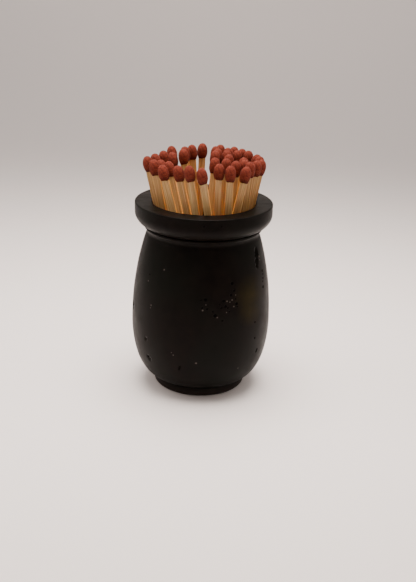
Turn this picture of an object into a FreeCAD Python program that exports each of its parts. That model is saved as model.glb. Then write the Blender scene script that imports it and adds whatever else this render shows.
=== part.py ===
"""Match striker: a small cast cement pot, filled with wooden matches.

The pot stands on Z = 0 with its axis on Z, and -Y is its front. It is one casting: a short foot,
a barrel, a narrow neck with a bead, and a wide flat rim round a plain bore. A disc of striking
paper is stuck in a shallow recess under the foot. Each match is a square splint with a dipped
head. The matches stand loose in the bore and fan out over its lip in two bunches.
All sizes are in millimetres.
"""
import FreeCAD, Part
import math
import os

Vector = FreeCAD.Vector

# Pot, outside, from the bottom up
pot_height = 63.0
foot_radius = 16.5
foot_height = 3.4
foot_edge = 0.5
crease_depth = 0.6
crease_width = 0.5
heel_spread = 3.9
barrel_radius = 23.15
barrel_height = 22.9
shoulder_radius = 18.75
neck_radius = 18.4
neck_hollow = 1.2
neck_recess = 0.95
bead_radius = 0.55
bead_reach = 19.3
rim_under = 4.3
rim_band = 3.4
rim_radius = 22.4
rim_edge = 0.35

# How full the pot's free curves are: shares of the stretch that each one covers
heel_fullness = 0.57
barrel_fullness = 0.36
shoulder_fullness = 0.6
shoulder_drop = 0.28
rim_flare = 0.45
rim_flare_rise = 0.06

# Pot, inside and underneath
bore_radius = 16.8
bore_edge = 0.5
bore_depth = 44.5
bore_corner = 0.6
disc_radius = 11.0
disc_thickness = 0.5
disc_clearance = 0.3
disc_inset = 0.5

# Matches
match_length = 60.0
splint_width = 2.3
head_length = 4.9
head_widest = 1.8
head_swell = 0.4
head_shoulder = 0.62
head_crown = 0.66
head_coat = 0.12
edge_coat = 0.05
tip_coat = 2.3
match_gap = 0.05
heads_per_node = 4

# How the matches stand
view_angle = 21.0
free_column = 4.1
free_column_x = 0.3
free_column_y = 0.5
packing = 0.6
usual_rise = 0.99
backmost_tip = 0.95
outermost_tip = 1.1
rounds = 1000
growing_rounds = 0.6
pulling_rounds = 0.85
first_growth = 0.5
first_pull = 0.2
push_margin = 0.004
splint_margin = 1.02
head_reach = 1.4
left_lean_share = 0.96
right_lean_share = 0.42
steepest_lean = 15.0
foot_depth = 0.8
foot_lift = 0.6
tip_ease = 0.2

# Air-bubble pits in the casting: degrees round from the front, height, radius, depth
pits = [
    (62.0, 49.3, 0.9, 0.8),
    (61.0, 47.6, 1.2, 1.3),
    (59.5, 46.0, 0.9, 0.9),
    (58.5, 44.6, 0.7, 0.7),
    (67.0, 42.0, 0.55, 0.5),
    (66.0, 39.8, 0.6, 0.5),
    (64.5, 37.6, 0.5, 0.4),
    (-77.0, 28.6, 0.9, 0.7),
    (-77.5, 27.0, 0.8, 0.7),
    (4.0, 37.2, 0.45, 0.35),
    (27.0, 41.6, 0.45, 0.35),
    (-49.0, 20.3, 0.6, 0.45),
    (50.5, 21.6, 0.45, 0.35),
]

# Where each tip shows from the front: splint widths to the right of the axis, splint widths
# below the highest tips, and the lean to the right in degrees
left_bunch = [
    (-8.0, 3.3, -17), (-7.5, 4.6, -14), (-6.7, 2.6, -14), (-6.5, 3.7, -15),
    (-5.9, 5.2, -15), (-5.4, 0.7, -12), (-5.6, 2.2, -12), (-5.0, 4.3, -15),
    (-4.6, 2.8, -16), (-3.9, 1.1, -10), (-3.5, 5.7, -16), (-2.8, 0.9, -6),
    (-2.2, 0.4, -6), (-2.2, 5.2, -10), (-0.7, 0.3, 6), (-0.4, 6.1, -10),
]
right_bunch = [
    (2.2, 0.2, 6), (1.5, 0.7, 5), (1.7, 1.5, 4), (1.5, 2.2, 4),
    (1.5, 3.5, 10), (2.3, 4.8, 2), (3.3, 0.9, 7), (3.5, 1.7, 7),
    (3.3, 2.6, 7), (2.8, 3.5, 5), (4.4, 0.3, 10), (5.1, 1.3, 12),
    (4.2, 4.3, 6), (3.8, 5.2, 4), (6.4, 0.9, 14), (5.9, 2.0, 14),
    (5.4, 3.2, 18), (5.9, 4.0, 15), (5.9, 4.8, 9), (7.1, 5.2, 17),
    (7.8, 2.4, 19), (9.1, 2.2, 19), (7.4, 3.3, 18), (8.5, 3.3, 19),
]

# Sizes that follow from those above
floor_height = pot_height - bore_depth
recess_depth = disc_inset + disc_thickness
half_diagonal = splint_width / math.sqrt(2)
head_radius = half_diagonal + head_coat
head_spacing = 2 * head_radius + match_gap
splint_section = splint_width * splint_margin / math.cos(math.radians(steepest_lean))
splint_spacing = splint_section + match_gap
column_spacing = free_column / 2 + head_radius + match_gap
head_share = 1 - head_reach * head_length / match_length


def at(radius, height):
    """A point of an outline, which lies in the XZ plane."""
    return Vector(radius, 0, height)


def line(start, end):
    return Part.LineSegment(start, end).toShape()


def curve(*poles):
    bezier = Part.BezierCurve()
    bezier.setPoles(list(poles))
    return bezier


def arc(start, end, centre):
    """The quarter or half circle from start to end round centre, bulging to +X on a half."""
    middle = (start + end) * 0.5 - centre
    if middle.Length < 1e-6:
        middle = Vector(1, 0, 0)
    top = centre + middle.normalize() * (start - centre).Length
    return Part.Arc(start, top, end).toShape()


def turned(edges):
    """The solid that a closed outline makes when it is turned once round the Z axis."""
    face = Part.Face(Part.Wire(edges))
    return face.revolve(Vector(0, 0, 0), Vector(0, 0, 1), 360)


# The pot


def heel_curve():
    """From the crease above the foot, out under the barrel and up to its widest place."""
    crease = at(foot_radius - crease_depth, foot_height)
    heel = crease + Vector(heel_spread, 0, crease_width)
    side = at(barrel_radius, barrel_height - heel_fullness * (barrel_height - foot_height))
    return curve(crease, heel, side, at(barrel_radius, barrel_height))


def barrel_curve(shoulder_height):
    """From the widest place up to the shoulder."""
    rise = shoulder_height - barrel_height
    side = at(barrel_radius, barrel_height + barrel_fullness * rise)
    slope = at(shoulder_radius + shoulder_fullness * (barrel_radius - shoulder_radius),
               shoulder_height - shoulder_drop * rise)
    return curve(at(barrel_radius, barrel_height), side, slope, at(shoulder_radius, shoulder_height))


def collar_heights():
    """Heights of the shoulder, the bead's two edges and the rim band's lower edge."""
    band = pot_height - rim_band
    bead_top = band - rim_under
    bead_bottom = bead_top - 2 * bead_radius
    shoulder = bead_bottom - neck_recess - neck_hollow
    return shoulder, bead_bottom, bead_top, band


def pot_outside():
    """Outline of the outside, from the foot's resting ring to the edge of the bore."""
    shoulder, bead_bottom, bead_top, band = collar_heights()
    bead_seat = bead_reach - bead_radius
    neck_pole = 2 * neck_radius - (shoulder_radius + bead_seat) / 2
    neck = curve(at(shoulder_radius, shoulder), at(neck_pole, bead_bottom - neck_recess),
                 at(bead_seat, bead_bottom))
    under = curve(at(bead_seat, bead_top),
                  at(bead_seat + rim_flare * (rim_radius - bead_seat),
                     bead_top + rim_flare_rise * rim_under),
                  at(rim_radius, band - rim_under / 2),
                  at(rim_radius, band))
    return [
        arc(at(foot_radius - foot_edge, 0), at(foot_radius, foot_edge),
            at(foot_radius - foot_edge, foot_edge)),
        line(at(foot_radius, foot_edge), at(foot_radius, foot_height - crease_width)),
        line(at(foot_radius, foot_height - crease_width),
             at(foot_radius - crease_depth, foot_height)),
        heel_curve().toShape(),
        barrel_curve(shoulder).toShape(),
        neck.toShape(),
        arc(at(bead_seat, bead_bottom), at(bead_seat, bead_top),
            at(bead_seat, (bead_bottom + bead_top) / 2)),
        under.toShape(),
        line(at(rim_radius, band), at(rim_radius, pot_height - rim_edge)),
        arc(at(rim_radius, pot_height - rim_edge), at(rim_radius - rim_edge, pot_height),
            at(rim_radius - rim_edge, pot_height - rim_edge)),
        line(at(rim_radius - rim_edge, pot_height), at(bore_radius + bore_edge, pot_height)),
    ]


def pot_inside():
    """Outline of the bore, from its edge down to the middle of its floor."""
    corner = bore_radius - bore_corner
    return [
        arc(at(bore_radius + bore_edge, pot_height), at(bore_radius, pot_height - bore_edge),
            at(bore_radius + bore_edge, pot_height - bore_edge)),
        line(at(bore_radius, pot_height - bore_edge), at(bore_radius, floor_height + bore_corner)),
        arc(at(bore_radius, floor_height + bore_corner), at(corner, floor_height),
            at(corner, floor_height + bore_corner)),
        line(at(corner, floor_height), at(0, floor_height)),
        line(at(0, floor_height), at(0, recess_depth)),
    ]


def pot_underside():
    """Outline of the disc's recess and the flat ring that the pot rests on."""
    recess_radius = disc_radius + disc_clearance
    return [
        line(at(0, recess_depth), at(recess_radius, recess_depth)),
        line(at(recess_radius, recess_depth), at(recess_radius, 0)),
        line(at(recess_radius, 0), at(foot_radius - foot_edge, 0)),
    ]


def wall_radius(height):
    """Radius of the barrel's outside at a height."""
    shape = heel_curve() if height < barrel_height else barrel_curve(collar_heights()[0])
    low, high = 0.0, 1.0
    for _ in range(30):
        middle = (low + high) / 2
        if shape.value(middle).z < height:
            low = middle
        else:
            high = middle
    return shape.value(low).x


def pit(angle, height, radius, depth):
    """The bubble that leaves a round pit in the barrel's wall."""
    turn = math.radians(angle)
    outward = Vector(math.sin(turn), -math.cos(turn), 0)
    middle = outward * (wall_radius(height) + radius - depth) + Vector(0, 0, height)
    bubble = Part.makeSphere(radius)
    seam_turn = FreeCAD.Rotation(Vector(0, 0, 1), 45)
    facing_out = FreeCAD.Rotation(Vector(0, 0, 1), outward)
    bubble.Placement = FreeCAD.Placement(middle, facing_out.multiply(seam_turn))
    return bubble


def pot():
    body = turned(pot_underside() + pot_outside() + pot_inside())
    return body.cut([pit(*values) for values in pits])


def striking_disc():
    return Part.makeCylinder(disc_radius, disc_thickness, Vector(0, 0, disc_inset))


# How the matches come to rest: each one is a list of its foot's x and y and its tip's x and y


def rise(match):
    """Height of the tip above the floor of the bore."""
    run_x = match[2] - match[0]
    run_y = match[3] - match[1]
    return math.sqrt(match_length ** 2 - run_x ** 2 - run_y ** 2)


def give(share):
    """How far foot and tip give way to a push at a share of the way up from the foot."""
    return 1 - share, share * tip_ease


def shift(match, share, x, y):
    foot, tip = give(share)
    match[0] += x * foot
    match[1] += y * foot
    match[2] += x * tip
    match[3] += y * tip


def answer(share):
    """How far the pushed place itself moves for each millimetre of shift."""
    foot, tip = give(share)
    return (1 - share) * foot + share * tip


def push(match, share, x, y):
    shift(match, share, x / answer(share), y / answer(share))


def separate_heads(one, other, one_rise, other_rise, clear):
    """Pushes two matches apart where their heads pass nearer than clear."""
    foot_x, foot_y = one[0] - other[0], one[1] - other[1]
    tip_x, tip_y = one[2] - other[2], one[3] - other[3]
    if min(foot_x, tip_x) > clear or max(foot_x, tip_x) < -clear:
        return
    if min(foot_y, tip_y) > clear or max(foot_y, tip_y) < -clear:
        return
    ux, uy = one[2] - one[0], one[3] - one[1]
    vx, vy = other[2] - other[0], other[3] - other[1]
    square = match_length ** 2
    uv = ux * vx + uy * vy + one_rise * other_rise
    along_u = ux * foot_x + uy * foot_y
    along_v = vx * foot_x + vy * foot_y
    crossing = max(square * square - uv * uv, 1e-9)
    share = min(1, max(head_share, (uv * along_v - square * along_u) / crossing))
    other_share = min(1, max(head_share, (uv * share + along_v) / square))
    share = min(1, max(head_share, (uv * other_share - along_u) / square))
    x = foot_x + share * ux - other_share * vx
    y = foot_y + share * uy - other_share * vy
    z = share * one_rise - other_share * other_rise
    lack = clear - math.sqrt(x * x + y * y + z * z)
    if lack > 0:
        level = max(math.hypot(x, y), 1e-6)
        step = min(lack + push_margin, 1.0) / level / (answer(share) + answer(other_share))
        shift(one, share, x * step, y * step)
        shift(other, other_share, -x * step, -y * step)


def separate_splints(one, other, one_rise, other_rise, clear):
    """Pushes two splints apart, side from side, at the level where they pass nearest."""
    foot_x, foot_y = one[0] - other[0], one[1] - other[1]
    slope_x = (one[2] - one[0]) / one_rise - (other[2] - other[0]) / other_rise
    slope_y = (one[3] - one[1]) / one_rise - (other[3] - other[1]) / other_rise
    top = min(one_rise, other_rise)
    top_x, top_y = foot_x + slope_x * top, foot_y + slope_y * top
    if min(foot_x, top_x) > clear or max(foot_x, top_x) < -clear:
        return
    if min(foot_y, top_y) > clear or max(foot_y, top_y) < -clear:
        return
    turning_points = ((foot_x, slope_x), (foot_y, slope_y),
                      (foot_x - foot_y, slope_x - slope_y), (foot_x + foot_y, slope_x + slope_y))
    levels = [0, top]
    levels += [-start / slope for start, slope in turning_points if abs(slope) > 1e-9]
    passing = []
    for level in levels:
        if 0 <= level <= top:
            x, y = foot_x + slope_x * level, foot_y + slope_y * level
            passing.append((max(abs(x), abs(y)), level, x, y))
    nearest, level, x, y = min(passing)
    if nearest >= clear:
        return
    crossed_x = foot_x * top_x < 0
    crossed_y = foot_y * top_y < 0
    sideways = abs(x) > abs(y) if crossed_x == crossed_y else crossed_y
    share, other_share = level / one_rise, level / other_rise
    lack = clear - (abs(x) if sideways else abs(y))
    step = min(lack + push_margin, 1.0) / (answer(share) + answer(other_share))
    step_x = math.copysign(step, x) if sideways else 0
    step_y = 0 if sideways else math.copysign(step, y)
    shift(one, share, step_x, step_y)
    shift(other, other_share, -step_x, -step_y)


def keep_inside(match, share, radius):
    """Brings a splint's outer corner inside a round edge at a share of the way up."""
    half = splint_section / 2
    x = match[0] + (match[2] - match[0]) * share
    y = match[1] + (match[3] - match[1]) * share
    reach = math.hypot(abs(x) + half, abs(y) + half) + match_gap
    if reach > radius:
        step = (radius - reach) / max(math.hypot(x, y), 1e-6)
        push(match, share, x * step, y * step)


def keep_off_column(match, match_rise):
    """Pushes a match out of the upright column that stays free from the floor to the top."""
    column = [free_column_x, free_column_y, free_column_x, free_column_y]
    separate_splints(match, column, match_rise, match_length, column_spacing)


def standing_matches(aims):
    """Matches that stand near their aims, eased apart round by round until none touch."""
    tilt = math.radians(view_angle)
    up, back = math.cos(tilt), math.sin(tilt)
    highest = (floor_height + match_length) * up + backmost_tip * bore_radius * back
    matches = []
    goals = []
    for right, below, lean in aims:
        tip = right * splint_width
        run = match_length * math.sin(math.radians(lean))
        seen = highest - below * splint_width
        depth = (seen - (floor_height + usual_rise * match_length) * up) / back
        furthest = outermost_tip * bore_radius
        depth = max(-furthest, min(furthest, depth))
        goals.append((tip, seen, run))
        matches.append([tip - run, depth * foot_depth, tip, depth])
    for number in range(rounds):
        done = number / rounds
        growth = min(1, first_growth + (1 - first_growth) * done / growing_rounds)
        pull = first_pull * max(0, 1 - done / pulling_rounds)
        for match, (tip, seen, run) in zip(matches, goals):
            match[2] += (tip - match[2]) * pull
            lift = (seen - (floor_height + rise(match)) * up - match[3] * back) * pull
            match[1] += lift * foot_lift
            match[3] += lift
            match[0] -= (run - match[2] + match[0]) * pull
        rises = [rise(match) for match in matches]
        for index, match in enumerate(matches):
            for before in range(index):
                other, rise_before = matches[before], rises[before]
                separate_splints(match, other, rises[index], rise_before, splint_spacing * growth)
                separate_heads(match, other, rises[index], rise_before, head_spacing * growth)
            keep_off_column(match, rises[index])
        for match in matches:
            keep_inside(match, bore_depth / rise(match), bore_radius)
            keep_inside(match, 0, bore_radius - bore_corner)
    return matches


def match_place(match):
    """Places a match so that the lowest corner of its square foot stands just off the floor."""
    direction = Vector(match[2] - match[0], match[3] - match[1], rise(match)).normalize()
    rotation = FreeCAD.Rotation(Vector(0, 0, 1), direction)
    across = rotation.multVec(Vector(1, 0, 0))
    deep = rotation.multVec(Vector(0, 1, 0))
    lift = (abs(across.z) + abs(deep.z)) * splint_width / 2 + match_gap
    foot = Vector(match[0], match[1], floor_height) + direction * (lift / direction.z)
    return FreeCAD.Placement(foot, rotation)


# The matches


def splint():
    """A square stick, standing on its foot."""
    corner = Vector(-splint_width / 2, -splint_width / 2, 0)
    return Part.makeBox(splint_width, splint_width, match_length - tip_coat, corner)


def match_head():
    """An egg of striking mix, dipped over the splint's end: widest low down, with a crisp edge."""
    bottom = match_length - head_length
    widest = bottom + head_widest
    edge_radius = half_diagonal + edge_coat
    lower = curve(at(edge_radius, bottom), at(head_radius, bottom + head_swell * head_widest),
                  at(head_radius, widest))
    dome = match_length - widest
    upper = curve(at(head_radius, widest), at(head_radius, widest + head_shoulder * dome),
                  at(head_crown * head_radius, match_length), at(0, match_length))
    outline = [line(at(0, bottom), at(edge_radius, bottom)), lower.toShape(), upper.toShape(),
               line(at(0, match_length), at(0, bottom))]
    return turned(outline).cut(splint())


def placed(shape, place):
    copy = shape.copy()
    copy.Placement = place
    return copy


def match_nodes():
    """The splints, one to a node, and the heads, a few neighbours to a node."""
    total = len(left_bunch) + len(right_bunch)
    room = packing * (2 * (bore_radius - half_diagonal) / head_spacing) ** 2
    share = min(1, room / total)
    bunches = {}
    for side, bunch, lean_share in (("left", left_bunch, left_lean_share),
                                    ("right", right_bunch, right_lean_share)):
        kept = bunch[:round(share * len(bunch))]
        bunches[side] = [(right, below, lean_share * lean) for right, below, lean in kept]
    matches = iter(standing_matches(bunches["left"] + bunches["right"]))
    nodes = {}
    for side, bunch in bunches.items():
        places = [match_place(next(matches)) for _ in bunch]
        for number, place in enumerate(places):
            nodes[f"splint_{side}_{number + 1:02d}"] = placed(splint(), place)
        for first in range(0, len(places), heads_per_node):
            group = places[first:first + heads_per_node]
            heads = Part.makeCompound([placed(match_head(), place) for place in group])
            nodes[f"heads_{side}_{first // heads_per_node + 1}"] = heads
    return nodes


nodes = {"pot": pot(), "striking_disc": striking_disc()}
nodes.update(match_nodes())
os.makedirs("parts", exist_ok=True)
for name, shape in nodes.items():
    shape.exportStep(f"parts/{name}.step")
print(len(nodes), "nodes")
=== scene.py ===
import math

import bpy
import numpy as np
from mathutils import Matrix, Vector, noise


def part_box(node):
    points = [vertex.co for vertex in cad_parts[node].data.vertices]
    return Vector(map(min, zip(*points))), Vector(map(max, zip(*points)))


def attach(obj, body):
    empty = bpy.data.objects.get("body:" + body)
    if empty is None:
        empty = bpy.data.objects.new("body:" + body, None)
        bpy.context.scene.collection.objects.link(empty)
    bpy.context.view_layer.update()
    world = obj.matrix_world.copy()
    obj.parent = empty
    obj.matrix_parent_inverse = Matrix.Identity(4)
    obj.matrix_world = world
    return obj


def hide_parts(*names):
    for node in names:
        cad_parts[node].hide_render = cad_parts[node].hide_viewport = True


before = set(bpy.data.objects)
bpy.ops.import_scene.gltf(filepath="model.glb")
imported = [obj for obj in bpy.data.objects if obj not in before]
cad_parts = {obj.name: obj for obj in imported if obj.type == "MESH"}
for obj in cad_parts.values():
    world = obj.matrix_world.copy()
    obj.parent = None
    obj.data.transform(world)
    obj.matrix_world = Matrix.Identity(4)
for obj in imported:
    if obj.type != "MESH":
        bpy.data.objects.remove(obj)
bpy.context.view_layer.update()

MM = 0.001


# The cast pot
# One casting in black pigmented cement, poured into a smooth mould and left unglazed. Its skin is
# satin and a little cloudy, with pits where bubbles lay against the mould. Sizes in millimetres.
pot_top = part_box("pot")[1].z / MM
foot_radius = 15.4
foot_height = 3.4
foot_edge = 0.9
crease_depth = 0.3
crease_width = 0.5
heel_spread = 4.7
barrel_radius = 23.15
barrel_height = 22.9
shoulder_radius = 18.75
neck_radius = 18.4
neck_hollow = 1.2
neck_recess = 0.95
bead_radius = 0.55
bead_reach = 19.3
rim_under = 4.3
rim_band = 3.4
rim_radius = 22.4
rim_edge = 0.35
bore_radius = 16.8
bore_edge = 0.5
bore_depth = 44.5
recess_radius = 11.3
recess_depth = 1.0

# How far each curve is filled out, as a share of its stretch
heel_fullness = 0.57
barrel_fullness = 0.36
shoulder_fullness = 0.6
shoulder_drop = 0.28
rim_flare = 0.45
rim_flare_rise = 0.06

# The mesh's columns and how much they crowd to the front, and the skin's slow swell, which is sunk
# a little so that it stays within the solid
pot_columns = 440
front_crowding = 0.35
casting_wave = 8.0
casting_swell = 0.05
casting_sink = 0.6

# Large pits, pressed into the mesh: degrees round from the front, height, radius across, radius
# up, and depth
pits = [
    (62.0, 49.6, 0.9, 0.9, 0.9),
    (61.5, 48.2, 1.1, 1.1, 1.3),
    (59.5, 46.4, 0.9, 1.0, 1.1),
    (58.5, 45.0, 0.7, 0.7, 0.8),
    (-77.0, 28.6, 0.9, 0.9, 0.7),
    (-77.5, 27.0, 0.8, 0.8, 0.7),
    (-49.0, 20.3, 0.7, 0.6, 0.4),
    (-48.5, 13.8, 0.7, 0.5, 0.4),
    (-46.5, 13.1, 0.7, 0.5, 0.4),
    (-34.0, 45.3, 0.8, 0.5, 0.15),
]

# Small pits and the painted shade in the bottoms of the large ones, both painted near black, and light
# specks, all left to the material: degrees round from the front, height, radius
shaded_pits = [
    (62.3, 49.6, 0.6), (61.8, 48.4, 0.8), (60.2, 46.9, 0.75), (58.8, 45.6, 0.55),
    (67.0, 42.6, 0.5), (67.6, 41.4, 0.42), (66.8, 40.2, 0.5), (65.6, 39.2, 0.42), (65.0, 37.4, 0.62),
    (4.0, 37.2, 0.6), (0.5, 37.0, 0.28), (1.5, 34.6, 0.34), (5.5, 34.2, 0.3), (12.0, 32.0, 0.66),
    (19.0, 36.6, 0.52), (17.0, 34.4, 0.36), (20.5, 34.8, 0.5), (22.5, 34.2, 0.34),
    (25.5, 38.2, 0.5), (27.0, 41.8, 0.56), (28.5, 39.4, 0.4), (30.5, 35.2, 0.56), (24.0, 33.0, 0.32),
    (29.5, 36.8, 0.3), (15.5, 35.6, 0.28), (10.0, 33.4, 0.3), (31.0, 34.2, 0.34), (18.0, 30.2, 0.4),
    (50.0, 27.2, 0.45), (50.5, 21.6, 0.5), (56.0, 16.6, 0.55), (55.4, 16.0, 0.5),
    (-16.5, 12.4, 0.36), (-16.0, 13.0, 0.4), (-15.5, 13.6, 0.38),
    (-48.5, 13.8, 0.5), (-46.5, 13.1, 0.45), (-49.0, 20.3, 0.4), (-78.0, 28.0, 0.9),
    (1.0, 61.0, 0.3), (15.0, 61.0, 0.3), (-50.0, 42.0, 0.3),
]
specks = [
    (-2.0, 15.6, 0.42), (-21.0, 17.6, 0.3), (-22.5, 18.4, 0.22), (-51.0, 39.8, 0.3),
    (-44.0, 32.5, 0.35), (-44.5, 31.6, 0.25), (2.0, 33.8, 0.35), (4.5, 35.6, 0.22), (65.5, 47.4, 0.45),
    (22.0, 36.4, 0.3), (24.5, 36.0, 0.25), (26.5, 36.6, 0.3), (21.5, 32.8, 0.25), (65.8, 46.3, 0.35),
    (-34.5, 44.9, 0.35), (30.0, 38.0, 0.22), (13.8, 31.4, 0.3), (36.0, 12.0, 0.3), (28.0, 34.4, 0.3),
]


def bezier(steps, *poles):
    """Points along a Bezier curve with these poles, without the last point."""
    share = np.linspace(0, 1, steps, endpoint=False)[:, None]
    degree = len(poles) - 1
    return sum(
        math.comb(degree, k) * (1 - share) ** (degree - k) * share ** k * np.array(pole)
        for k, pole in enumerate(poles)
    )


def bend(steps, centre, radius, start, end):
    """Points along an arc between two angles in degrees, without the last point."""
    angles = np.radians(np.linspace(start, end, steps, endpoint=False))
    return np.array(centre) + radius * np.stack([np.cos(angles), np.sin(angles)], axis=1)


def pot_outline():
    """The pot's section, from the middle of its underside round to the middle of its floor."""
    band = pot_top - rim_band
    bead_top = band - rim_under
    bead_bottom = bead_top - 2 * bead_radius
    shoulder = bead_bottom - neck_recess - neck_hollow
    bead_seat = bead_reach - bead_radius
    neck_pole = 2 * neck_radius - (shoulder_radius + bead_seat) / 2
    crease = (foot_radius - crease_depth, foot_height)
    rise = shoulder - barrel_height
    slope = shoulder_radius + shoulder_fullness * (barrel_radius - shoulder_radius)
    floor = pot_top - bore_depth
    runs = [
        bezier(4, (0, recess_depth), (recess_radius, recess_depth)),
        bezier(2, (recess_radius, recess_depth), (recess_radius, 0)),
        bezier(3, (recess_radius, 0), (foot_radius - foot_edge, 0)),
        bend(4, (foot_radius - foot_edge, foot_edge), foot_edge, -90, 0),
        bezier(4, (foot_radius, foot_edge), (foot_radius, foot_height - crease_width)),
        bezier(2, (foot_radius, foot_height - crease_width), crease),
        bezier(50, crease, (crease[0] + heel_spread, foot_height + crease_width),
               (barrel_radius, barrel_height - heel_fullness * (barrel_height - foot_height)),
               (barrel_radius, barrel_height)),
        bezier(74, (barrel_radius, barrel_height),
               (barrel_radius, barrel_height + barrel_fullness * rise),
               (slope, shoulder - shoulder_drop * rise), (shoulder_radius, shoulder)),
        bezier(7, (shoulder_radius, shoulder), (neck_pole, bead_bottom - neck_recess),
               (bead_seat, bead_bottom)),
        bend(6, (bead_seat, bead_bottom + bead_radius), bead_radius, -90, 90),
        bezier(10, (bead_seat, bead_top),
               (bead_seat + rim_flare * (rim_radius - bead_seat), bead_top + rim_flare_rise * rim_under),
               (rim_radius, band - rim_under / 2), (rim_radius, band)),
        bezier(10, (rim_radius, band), (rim_radius, pot_top - rim_edge)),
        bend(4, (rim_radius - rim_edge, pot_top - rim_edge), rim_edge, 0, 90),
        bezier(10, (rim_radius - rim_edge, pot_top), (bore_radius + bore_edge, pot_top)),
        bend(4, (bore_radius + bore_edge, pot_top - bore_edge), bore_edge, 90, 180),
        bezier(10, (bore_radius, pot_top - bore_edge), (bore_radius, floor)),
        bezier(4, (bore_radius, floor), (0, floor)),
        np.array([(0, floor)]),
    ]
    return np.concatenate(runs)


def ring_faces(rows, columns):
    """Four-sided faces that join each ring of points to the next."""
    faces = []
    for row in range(rows - 1):
        for column in range(columns):
            beside = (column + 1) % columns
            low = row * columns
            faces.append((low + column, low + beside, low + columns + beside, low + columns + column))
    return faces


def pot_mesh():
    """The outline turned once round, with the casting's slight swell and its pits pressed in."""
    outline = pot_outline()
    step = np.gradient(outline, axis=0)
    facing = np.stack([step[:, 1], -step[:, 0]], axis=1)
    facing /= np.linalg.norm(facing, axis=1)[:, None]
    turn = 2 * math.pi * np.arange(pot_columns) / pot_columns
    turn = turn - front_crowding * np.sin(turn)
    sine = np.sin(turn)[None, :]
    cosine = -np.cos(turn)[None, :]
    radius = outline[1:-1, 0][:, None]
    height = outline[1:-1, 1][:, None]
    out = facing[1:-1, 0][:, None]
    up = facing[1:-1, 1][:, None]
    wall = radius > bore_radius + bore_edge
    skin = (wall | (height < recess_depth)) & (radius >= foot_radius - foot_edge)
    push = np.zeros((len(radius), pot_columns))
    for row in np.flatnonzero(skin):
        for column in range(pot_columns):
            place = Vector((radius[row, 0] * sine[0, column], radius[row, 0] * cosine[0, column],
                            height[row, 0]))
            push[row, column] = casting_swell * (noise.noise(place / casting_wave) - casting_sink)
    for angle, level, wide, tall, deep in pits:
        across = (turn - math.radians(angle) + math.pi) % (2 * math.pi) - math.pi
        across = across[None, :] * radius / wide
        along = (height - level) / tall
        inside = np.clip(1 - across ** 2 - along ** 2, 0, 1) * wall
        push -= deep * np.sqrt(inside)
    rings = np.stack([(radius + out * push) * sine, (radius + out * push) * cosine,
                      height + up * push], axis=-1).reshape(-1, 3)
    first = np.array([(0, 0, outline[0, 1])])
    last = np.array([(0, 0, outline[-1, 1])])
    points = np.concatenate([rings, first, last]) * MM
    count = len(radius)
    faces = ring_faces(count, pot_columns)
    last_ring = (count - 1) * pot_columns
    for column in range(pot_columns):
        beside = (column + 1) % pot_columns
        faces.append((count * pot_columns, beside, column))
        faces.append((count * pot_columns + 1, last_ring + column, last_ring + beside))
    mesh = bpy.data.meshes.new("cast_pot")
    mesh.from_pydata(points.tolist(), [], faces)
    mesh.shade_smooth()
    mesh.set_sharp_from_angle(angle=math.radians(50))
    return mesh


def linear(code):
    """A linear colour from its sRGB hex code."""
    parts = [int(code[k:k + 2], 16) / 255 for k in (1, 3, 5)]
    return [p / 12.92 if p <= 0.04045 else ((p + 0.055) / 1.055) ** 2.4 for p in parts] + [1.0]


def add_node(tree, kind, settings, links):
    """Adds a node; settings and links go by the names or numbers of its values and inputs."""
    node = tree.nodes.new(kind)
    for name, value in settings.items():
        if isinstance(name, int) or name in node.inputs:
            node.inputs[name].default_value = value
        else:
            setattr(node, name, value)
    for name, socket in links.items():
        tree.links.new(socket, node.inputs[name])
    return node


def new_finish(name, settings):
    """A material with one shader that has the settings of its finish."""
    material = bpy.data.materials.new(name)
    material.use_nodes = True
    tree = material.node_tree
    shader = tree.nodes["Principled BSDF"]
    for socket, value in settings.items():
        shader.inputs[socket].default_value = value
    return material, tree, shader


def set_stops(ramp, stops):
    """Gives a colour ramp its stops: a place and a colour each."""
    bar = ramp.color_ramp
    while len(bar.elements) < len(stops):
        bar.elements.new(1.0)
    for stop, (place, colour) in zip(bar.elements, stops):
        stop.position = place
        stop.color = colour


def on_wall(angle, height):
    """The place on the pot's outside at an angle from the front and a height, in metres."""
    wall = pot_outline()
    wall = wall[(wall[:, 0] > bore_radius + bore_edge) & (wall[:, 1] > foot_height)]
    radius = np.interp(height, wall[:, 1], wall[:, 0])
    turn = math.radians(angle)
    return (radius * math.sin(turn) * MM, -radius * math.cos(turn) * MM, height * MM)


def spot_mask(tree, place, spots, soft):
    """1 inside round spots on the pot's wall and 0 outside; soft is the share of each that fades."""
    whole = None
    for angle, height, radius in spots:
        away = add_node(tree, "ShaderNodeVectorMath",
                        {"operation": "DISTANCE", 1: on_wall(angle, height)}, {0: place})
        spot = add_node(tree, "ShaderNodeMapRange",
                        {"From Min": radius * (1 - soft) * MM, "From Max": radius * MM,
                         "To Min": 1.0, "To Max": 0.0}, {"Value": away.outputs["Value"]})
        if whole is None:
            whole = spot.outputs["Result"]
        else:
            whole = add_node(tree, "ShaderNodeMath", {"operation": "MAXIMUM"},
                             {0: whole, 1: spot.outputs["Result"]}).outputs["Value"]
    return whole


def tinted(tree, base, mask, code):
    """A colour that turns to another one where the mask is 1."""
    mix = add_node(tree, "ShaderNodeMixRGB", {"Color2": linear(code)}, {"Fac": mask, "Color1": base})
    return mix.outputs["Color"]


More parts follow.
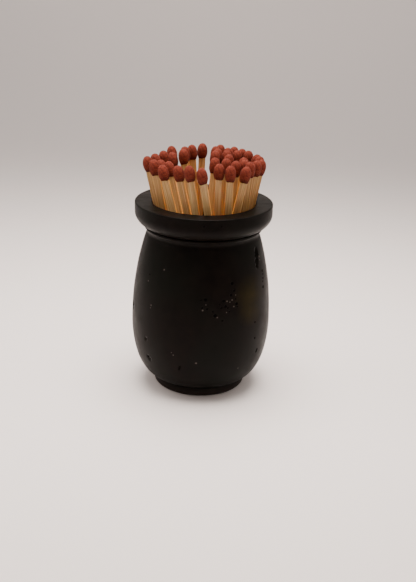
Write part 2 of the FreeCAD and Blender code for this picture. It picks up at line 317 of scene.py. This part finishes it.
def black_cement():
    """Pigmented cement with a satin moulded skin: dark, cloudy, broad soft highlights.

    It mirrors very little of the pale floor, so its specular level is far below the usual.
    """
    material, tree, shader = new_finish("black_pigmented_cement_moulded", {"Specular IOR Level": 0.05})
    place = add_node(tree, "ShaderNodeTexCoord", {}, {}).outputs["Object"]
    cloud_size = 5.0
    cloud = add_node(tree, "ShaderNodeTexNoise",
                     {"Scale": 1 / (cloud_size * MM), "Detail": 5.0, "Roughness": 0.6},
                     {"Vector": place})
    skin = add_node(tree, "ShaderNodeValToRGB", {}, {"Fac": cloud.outputs["Fac"]})
    set_stops(skin, [(0.35, linear("#080504")), (0.65, linear("#0f0a07"))])
    # Broad patches lean from brown-black to green-black, as the pigment settled unevenly
    patch_size = 22.0
    patch = add_node(tree, "ShaderNodeTexNoise", {"Scale": 1 / (patch_size * MM), "Detail": 1.0},
                     {"Vector": place})
    patch = add_node(tree, "ShaderNodeMapRange",
                     {"From Min": 0.42, "From Max": 0.6, "To Min": 0.0, "To Max": 1.0},
                     {"Value": patch.outputs["Fac"]})
    colour = tinted(tree, skin.outputs["Color"], patch.outputs["Result"], "#0b0b08")
    # Painted light: the foot is painted paler towards the floor, for the light the floor throws back
    # onto it
    height = add_node(tree, "ShaderNodeSeparateXYZ", {}, {"Vector": place}).outputs["Z"]
    painted_floor_light = add_node(tree, "ShaderNodeMapRange",
                    {"From Min": (foot_height - crease_width) * MM, "From Max": 0.0, "To Min": 0.0,
                     "To Max": 1.0}, {"Value": height})
    colour = tinted(tree, colour, painted_floor_light.outputs["Result"], "#2c2421")
    # A faint olive bloom lies on the right of the front
    blooms = [(46, 36.5, 7.5), (45, 32.0, 6.0)]
    stain = spot_mask(tree, place, blooms, 0.95)
    stain = add_node(tree, "ShaderNodeMath", {"operation": "MULTIPLY"},
                     {0: stain, 1: cloud.outputs["Fac"]}).outputs["Value"]
    colour = tinted(tree, colour, stain, "#2a2306")
    shaded_pit = spot_mask(tree, place, shaded_pits, 0.35)
    speck = spot_mask(tree, place, specks, 0.6)
    colour = tinted(tree, colour, speck, "#4a433e")
    # Painted shade: the pits are painted near black
    colour = tinted(tree, colour, shaded_pit, "#020101")
    tree.links.new(colour, shader.inputs["Base Color"])
    sheen = add_node(tree, "ShaderNodeMapRange",
                     {"From Min": 0.3, "From Max": 0.7, "To Min": 0.36, "To Max": 0.52},
                     {"Value": cloud.outputs["Fac"]})
    dull = add_node(tree, "ShaderNodeMath", {"operation": "ADD", "use_clamp": True},
                    {0: sheen.outputs["Result"], 1: shaded_pit}).outputs["Value"]
    tree.links.new(dull, shader.inputs["Roughness"])
    # Real grit is finer, and is drawn this coarse so that it shows
    grit_size = 0.35
    grit = add_node(tree, "ShaderNodeTexNoise",
                    {"Scale": 1 / (grit_size * MM), "Detail": 3.0, "Roughness": 0.6},
                    {"Vector": place})
    grain = add_node(tree, "ShaderNodeBump", {"Strength": 0.25, "Distance": 0.04 * MM},
                     {"Height": grit.outputs["Fac"]})
    pinhole_depth = 0.25
    hole = add_node(tree, "ShaderNodeBump",
                    {"Strength": 1.0, "Distance": pinhole_depth * MM, "invert": True},
                    {"Height": shaded_pit, "Normal": grain.outputs["Normal"]})
    tree.links.new(hole.outputs["Normal"], shader.inputs["Normal"])
    return material


cast_pot = bpy.data.objects.new("cast_pot", pot_mesh())
bpy.context.scene.collection.objects.link(cast_pot)
cast_pot.data.materials.append(black_cement())
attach(cast_pot, "root")
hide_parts("pot")


# The striking disc
# Red phosphorus on card, printed and cut round, and glued into the recess under the foot. It is
# matt and gritty, so it shows fine dark and light grains, drawn a little coarser than real ones.
def striking_surface():
    """Phosphorus coating on card: matt, gritty, dark red-brown."""
    material, tree, shader = new_finish("red_phosphorus_on_card_coated", {"Roughness": 0.9})
    place = add_node(tree, "ShaderNodeTexCoord", {}, {}).outputs["Object"]
    grain_size = 0.3
    grain = add_node(tree, "ShaderNodeTexVoronoi", {"Scale": 1 / (grain_size * MM)},
                     {"Vector": place})
    colour = add_node(tree, "ShaderNodeValToRGB", {}, {"Fac": grain.outputs["Distance"]})
    set_stops(colour, [(0.1, linear("#3b1c17")), (0.7, linear("#6b3a2f"))])
    tree.links.new(colour.outputs["Color"], shader.inputs["Base Color"])
    bump = add_node(tree, "ShaderNodeBump", {"Strength": 0.6, "Distance": 0.05 * MM},
                    {"Height": grain.outputs["Distance"]})
    tree.links.new(bump.outputs["Normal"], shader.inputs["Normal"])
    return material


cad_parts["striking_disc"].material_slots[0].material = striking_surface()


# The splints
# Aspen sticks, cut square from peeled veneer and soaked in wax at the head end. Their faces are
# straight-grained and slightly ridged. The side faces are painted golden, a painted glow of light
# bounced between the sticks, and the front and back faces paler, as painted shade. They let a little
# light through.
splint_corner = 0.09
side_points = 8
splint_rows = 26
fibre_ridge = 0.035

# Where the ridges' noise is read: a step round the stick, the length of a ridge, a shift per stick
ridge_step = 0.8
ridge_run = 14
stick_shift = 7.3
splint_names = sorted(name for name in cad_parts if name.startswith("splint"))


def stick_place(node):
    """Where a splint stands: foot as origin, Z along it, X the face most to the right; its sizes."""
    corners = np.unique(np.round([list(v.co) for v in node.data.vertices], 7), axis=0)
    corners = corners[np.argsort(corners[:, 2])]
    foot = Vector(corners[:4].mean(axis=0))
    top = Vector(corners[4:].mean(axis=0))
    along = (top - foot).normalized()
    corner = (Vector(corners[0]) - foot).normalized()
    sides = [corner + along.cross(corner), corner - along.cross(corner)]
    across = max(sides + [-side for side in sides], key=lambda side: side.x).normalized()
    deep = along.cross(across)
    place = Matrix((across, deep, along)).transposed().to_4x4()
    place.translation = foot
    width = (Vector(corners[0]) - foot).length * math.sqrt(2)
    return place, width / MM, (top - foot).length / MM


def stick_ring(width):
    """Points round a square stick's section, its corners a little worn, and each one's facing."""
    half = width / 2
    side = np.linspace(-half + splint_corner, half - splint_corner, side_points)
    points = []
    facing = []
    for quarter in range(4):
        turn = math.pi / 2 * quarter
        ahead = np.array((math.cos(turn), math.sin(turn)))
        left = np.array((-math.sin(turn), math.cos(turn)))
        for step in side:
            points.append(half * ahead + step * left)
            facing.append(ahead)
    return np.array(points), np.array(facing)


def stick_mesh(name, number, width, length):
    """A square stick with fine ridges along its grain, closed at both ends."""
    ring, facing = stick_ring(width)
    points = []
    for row in range(splint_rows):
        height = length * row / (splint_rows - 1)
        for index, (spot, ahead) in enumerate(zip(ring, facing)):
            seed = Vector((index * ridge_step, height / ridge_run, number * stick_shift))
            push = fibre_ridge * (noise.noise(seed) - 0.5)
            edge = spot + ahead * push
            points.append((edge[0] * MM, edge[1] * MM, height * MM))
    count = len(ring)
    faces = ring_faces(splint_rows, count)
    faces.append(tuple(range(count))[::-1])
    faces.append(tuple(range((splint_rows - 1) * count, splint_rows * count)))
    mesh = bpy.data.meshes.new(name)
    mesh.from_pydata(points, [], faces)
    mesh.shade_smooth()
    mesh.set_sharp_from_angle(angle=math.radians(35))
    return mesh


def waxed_aspen():
    """Aspen, sliced and waxed: fine grain, painted glow on the side faces, painted shade on the front
    and back.
    """
    material, tree, shader = new_finish(
        "waxed_aspen_sliced",
        {"Roughness": 0.6, "Subsurface Weight": 0.4, "Subsurface Radius": (1.0, 0.5, 0.18),
         "Subsurface Scale": 1.0 * MM},
    )
    place = add_node(tree, "ShaderNodeTexCoord", {}, {}).outputs["Object"]
    stick = add_node(tree, "ShaderNodeObjectInfo", {}, {}).outputs["Random"]
    own = add_node(tree, "ShaderNodeVectorMath", {"operation": "ADD"}, {0: place, 1: stick})
    # Real fibres are finer, and are drawn this wide so that they show
    fibre = 0.22
    run = 14.0
    stretched = add_node(
        tree, "ShaderNodeMapping",
        {"Scale": (1 / (fibre * MM), 1 / (fibre * MM), 1 / (run * MM))}, {"Vector": own.outputs[0]})
    grain = add_node(tree, "ShaderNodeTexNoise", {"Scale": 1.0, "Detail": 4.0, "Roughness": 0.55},
                     {"Vector": stretched.outputs["Vector"]})
    # Painted light: side faces get a golden ramp for the glow between the sticks, front and back faces a
    # paler one for shade
    painted_glow_faces = add_node(tree, "ShaderNodeValToRGB", {}, {"Fac": grain.outputs["Fac"]})
    set_stops(painted_glow_faces, [(0.3, linear("#b96d18")), (0.5, linear("#ea9f30")), (0.7, linear("#f8c258"))])
    painted_shade_faces = add_node(tree, "ShaderNodeValToRGB", {}, {"Fac": grain.outputs["Fac"]})
    set_stops(painted_shade_faces, [(0.3, linear("#967243")), (0.5, linear("#b8925c")), (0.7, linear("#d4b27e"))])
    facing = add_node(tree, "ShaderNodeTexCoord", {}, {}).outputs["Normal"]
    facing = add_node(tree, "ShaderNodeSeparateXYZ", {}, {"Vector": facing}).outputs["Y"]
    facing = add_node(tree, "ShaderNodeMath", {"operation": "ABSOLUTE"}, {0: facing}).outputs["Value"]
    faces = add_node(tree, "ShaderNodeMixRGB", {},
                     {"Fac": facing, "Color1": painted_glow_faces.outputs["Color"], "Color2": painted_shade_faces.outputs["Color"]})
    tree.links.new(faces.outputs["Color"], shader.inputs["Base Color"])
    bump = add_node(tree, "ShaderNodeBump", {"Strength": 0.4, "Distance": 0.05 * MM},
                    {"Height": grain.outputs["Fac"]})
    tree.links.new(bump.outputs["Normal"], shader.inputs["Normal"])
    return material


aspen = waxed_aspen()
stick_places = {}
for number, name in enumerate(splint_names):
    place, width, length = stick_place(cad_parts[name])
    stick_places[name] = (place, length)
    mesh = stick_mesh(name, number, width, length)
    stick = bpy.data.objects.new(name.replace("splint", "stick"), mesh)
    bpy.context.scene.collection.objects.link(stick)
    stick.matrix_world = place
    stick.data.materials.append(aspen)
    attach(stick, "root")
    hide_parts(name)


# The match heads
# Striking mix of chlorate, glue and red oxide, dipped wet over the splints' ends and dried. It is
# matt and fine-grained, egg-shaped, and ends in a squared edge where the dip stopped; painted shade
# darkens the part below its bulge.
head_length = 4.9
head_radius = 1.74
head_widest = 0.38
tip_bluntness = 2.5
edge_half = 1.24
edge_squareness = 6.2
edge_slant = 0.15
slant_reach = 1.5
tip_coat = 2.3
under_shade_height = 1.6
head_columns = 40
head_rows = 26
heads_per_node = 4

# The lumpy skin: its height, how far it is sunk, and coarse and fine lumps to the millimetre
grain_height = 0.035
grain_sink = 0.8
coarse_grain = 1.6
fine_grain = 4
fine_share = 0.6

# How far the noise of the slant and of the skin moves on from head to head
slant_shift = 3.1
head_shift = 20


def dip_edge(angle):
    """Distance from the middle to the dip's edge, a square with rounded corners, at an angle."""
    across = abs(math.cos(angle)) ** edge_squareness
    along = abs(math.sin(angle)) ** edge_squareness
    return edge_half / (across + along) ** (1 / edge_squareness)


def head_mesh(name, number):
    """An egg that starts square at the dip's edge and rounds towards its tip."""
    points = []
    for row in range(head_rows):
        share = row / (head_rows - 1)
        if share < head_widest:
            bulge = 1 - (1 - share / head_widest) ** 2
        else:
            near_tip = (share - head_widest) / (1 - head_widest)
            bulge = math.sqrt(max(0, 1 - near_tip ** tip_bluntness))
        for column in range(head_columns):
            angle = 2 * math.pi * column / head_columns
            cosine = math.cos(angle)
            sine = math.sin(angle)
            if share < head_widest:
                edge = dip_edge(angle)
                radius = edge + (head_radius - edge) * bulge
            else:
                radius = head_radius * bulge
            slant = edge_slant * noise.noise(Vector((number * slant_shift, cosine, sine)))
            height = head_length * share + slant * (1 - share) * slant_reach
            seed = Vector((radius * cosine, radius * sine, height + number * head_shift))
            grain = noise.noise(seed * coarse_grain) + fine_share * noise.noise(seed * fine_grain)
            radius = max(radius + grain_height * (grain - grain_sink), 0)
            points.append((radius * cosine * MM, radius * sine * MM, height * MM))
    faces = ring_faces(head_rows, head_columns)
    faces.append(tuple(range(head_columns))[::-1])
    mesh = bpy.data.meshes.new(name)
    mesh.from_pydata(points, [], faces)
    mesh.shade_smooth()
    mesh.set_sharp_from_angle(angle=math.radians(60))
    return mesh


def striking_mix():
    """Dried striking mix: matt brick red, grainy, with painted shade on its lower part."""
    material, tree, shader = new_finish(
        "red_striking_mix_dipped", {"Roughness": 0.85, "Specular IOR Level": 0.2})
    place = add_node(tree, "ShaderNodeTexCoord", {}, {}).outputs["Object"]
    # Real grains are finer, and are drawn this coarse so that they show
    grain_size = 0.35
    grain = add_node(tree, "ShaderNodeTexNoise",
                     {"Scale": 1 / (grain_size * MM), "Detail": 4.0, "Roughness": 0.65},
                     {"Vector": place})
    colour = add_node(tree, "ShaderNodeValToRGB", {}, {"Fac": grain.outputs["Fac"]})
    set_stops(colour, [(0.3, linear("#3e1209")), (0.55, linear("#6b2717")), (0.75, linear("#9a4830"))])
    # Painted shade: the head is darkened towards its lower end, under its bulge
    height = add_node(tree, "ShaderNodeSeparateXYZ", {}, {"Vector": place}).outputs["Z"]
    edge = add_node(tree, "ShaderNodeMapRange",
                    {"From Min": 0.0, "From Max": under_shade_height * MM, "To Min": 0.4, "To Max": 1.0},
                    {"Value": height})
    dark = add_node(tree, "ShaderNodeMixRGB", {"blend_type": "MULTIPLY", "Fac": 1.0},
                    {"Color1": colour.outputs["Color"], "Color2": edge.outputs["Result"]})
    tree.links.new(dark.outputs["Color"], shader.inputs["Base Color"])
    bump = add_node(tree, "ShaderNodeBump", {"Strength": 0.9, "Distance": 0.11 * MM},
                    {"Height": grain.outputs["Fac"]})
    tree.links.new(bump.outputs["Normal"], shader.inputs["Normal"])
    return material


mix = striking_mix()
for number, name in enumerate(splint_names):
    place, length = stick_places[name]
    side, position = name.split("_")[1:]
    mesh = head_mesh(name.replace("splint", "head"), number)
    head = bpy.data.objects.new(f"head_{side}_{position}", mesh)
    bpy.context.scene.collection.objects.link(head)
    start = length + tip_coat - head_length
    head.matrix_world = place @ Matrix.Translation((0, 0, start * MM))
    head.data.materials.append(mix)
    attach(head, "root")
    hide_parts(f"heads_{side}_{(int(position) - 1) // heads_per_node + 1}")


# The studio
# A round pale floor, in metres, that curves up into a low wall on every side. A soft light hangs
# above the pot, weaker ones stand at both sides and behind, and an even pale sky fills the shadows.
floor_rings = (0.12, 0.3)
floor_radius = 0.4
curve_radius = 0.5
wall_height = 0.65
curve_steps = 16
stage_columns = 96


def stage_mesh():
    """A flat disc, a quarter curve and a wall, turned once round in one smooth sheet."""
    section = [(radius, 0.0) for radius in floor_rings]
    for angle in np.radians(np.linspace(0, 90, curve_steps)):
        out = floor_radius + curve_radius * math.sin(angle)
        section.append((out, curve_radius * (1 - math.cos(angle))))
    section.append((floor_radius + curve_radius, wall_height))
    turn = 2 * math.pi * np.arange(stage_columns) / stage_columns
    points = [(0.0, 0.0, 0.0)]
    for radius, height in section:
        points += [(radius * math.cos(t), radius * math.sin(t), height) for t in turn]
    faces = []
    for column in range(stage_columns):
        beside = (column + 1) % stage_columns
        faces.append((0, 1 + column, 1 + beside))
        for row in range(len(section) - 1):
            low = 1 + row * stage_columns
            faces.append((low + column, low + stage_columns + column,
                          low + stage_columns + beside, low + beside))
    mesh = bpy.data.meshes.new("sweep")
    mesh.from_pydata(points, [], faces)
    mesh.shade_smooth()
    return mesh


sweep = bpy.data.objects.new("sweep", stage_mesh())
bpy.context.scene.collection.objects.link(sweep)
backdrop_paper = new_finish("pale_backdrop_paper", {"Base Color": linear("#ded7d4"), "Roughness": 0.8})
sweep.data.materials.append(backdrop_paper[0])


def soft_light(name, place, target, size, power, colour, spread):
    """A square soft light that faces a target; its spread in degrees is how wide it throws."""
    lamp = bpy.data.lights.new(name, "AREA")
    lamp.size = size
    lamp.spread = math.radians(spread)
    lamp.energy = power
    lamp.color = linear(colour)[:3]
    holder = bpy.data.objects.new(name, lamp)
    bpy.context.scene.collection.objects.link(holder)
    holder.location = place
    holder.rotation_euler = (Vector(target) - Vector(place)).to_track_quat("-Z", "Y").to_euler()


soft_light("overhead", (0.0, 0.02, 0.42), (0, 0, 0), 0.32, 0.95, "#fff4ec", 60)
soft_light("left_light", (-0.42, 0.0, 0.36), (0, 0, 0), 0.4, 0.6, "#fff4ec", 110)
soft_light("right_light", (0.42, 0.0, 0.36), (0, 0, 0), 0.4, 0.3, "#fff4ec", 110)
soft_light("back_light", (0.0, 0.35, 0.5), (0, 0, 0), 0.4, 0.3, "#fff4ec", 100)
soft_light("backdrop_light", (0.0, 0.4, 0.8), (0, 0.8, 0.15), 0.5, 1.0, "#fff4ec", 90)
world = bpy.data.worlds.new("studio")
bpy.context.scene.world = world
world.use_nodes = True
surround = world.node_tree.nodes["Background"]
surround.inputs["Color"].default_value = linear("#f0ece9")
surround.inputs["Strength"].default_value = 0.66


# The camera
# It stands in front of the pot, a little above, at the photograph's height and tilt. Its place is in
# metres, its angles in degrees, and its lens in millimetres.
camera_distance = 0.299
camera_pitch = 20.89
camera_roll = 1.91
look_at = Vector((0.00225, 0, 0.03177))
lens = bpy.data.cameras.new("photograph")
lens.lens = 55.03
lens.sensor_width = 36.0
camera = bpy.data.objects.new("photograph", lens)
bpy.context.scene.collection.objects.link(camera)
bpy.context.scene.camera = camera
tilt = math.radians(camera_pitch)
stand = look_at + camera_distance * Vector((0, -math.cos(tilt), math.sin(tilt)))
camera.matrix_world = (
    Matrix.Translation(stand)
    @ Matrix.Rotation(math.pi / 2 - tilt, 4, "X")
    @ Matrix.Rotation(math.radians(camera_roll), 4, "Z")
)
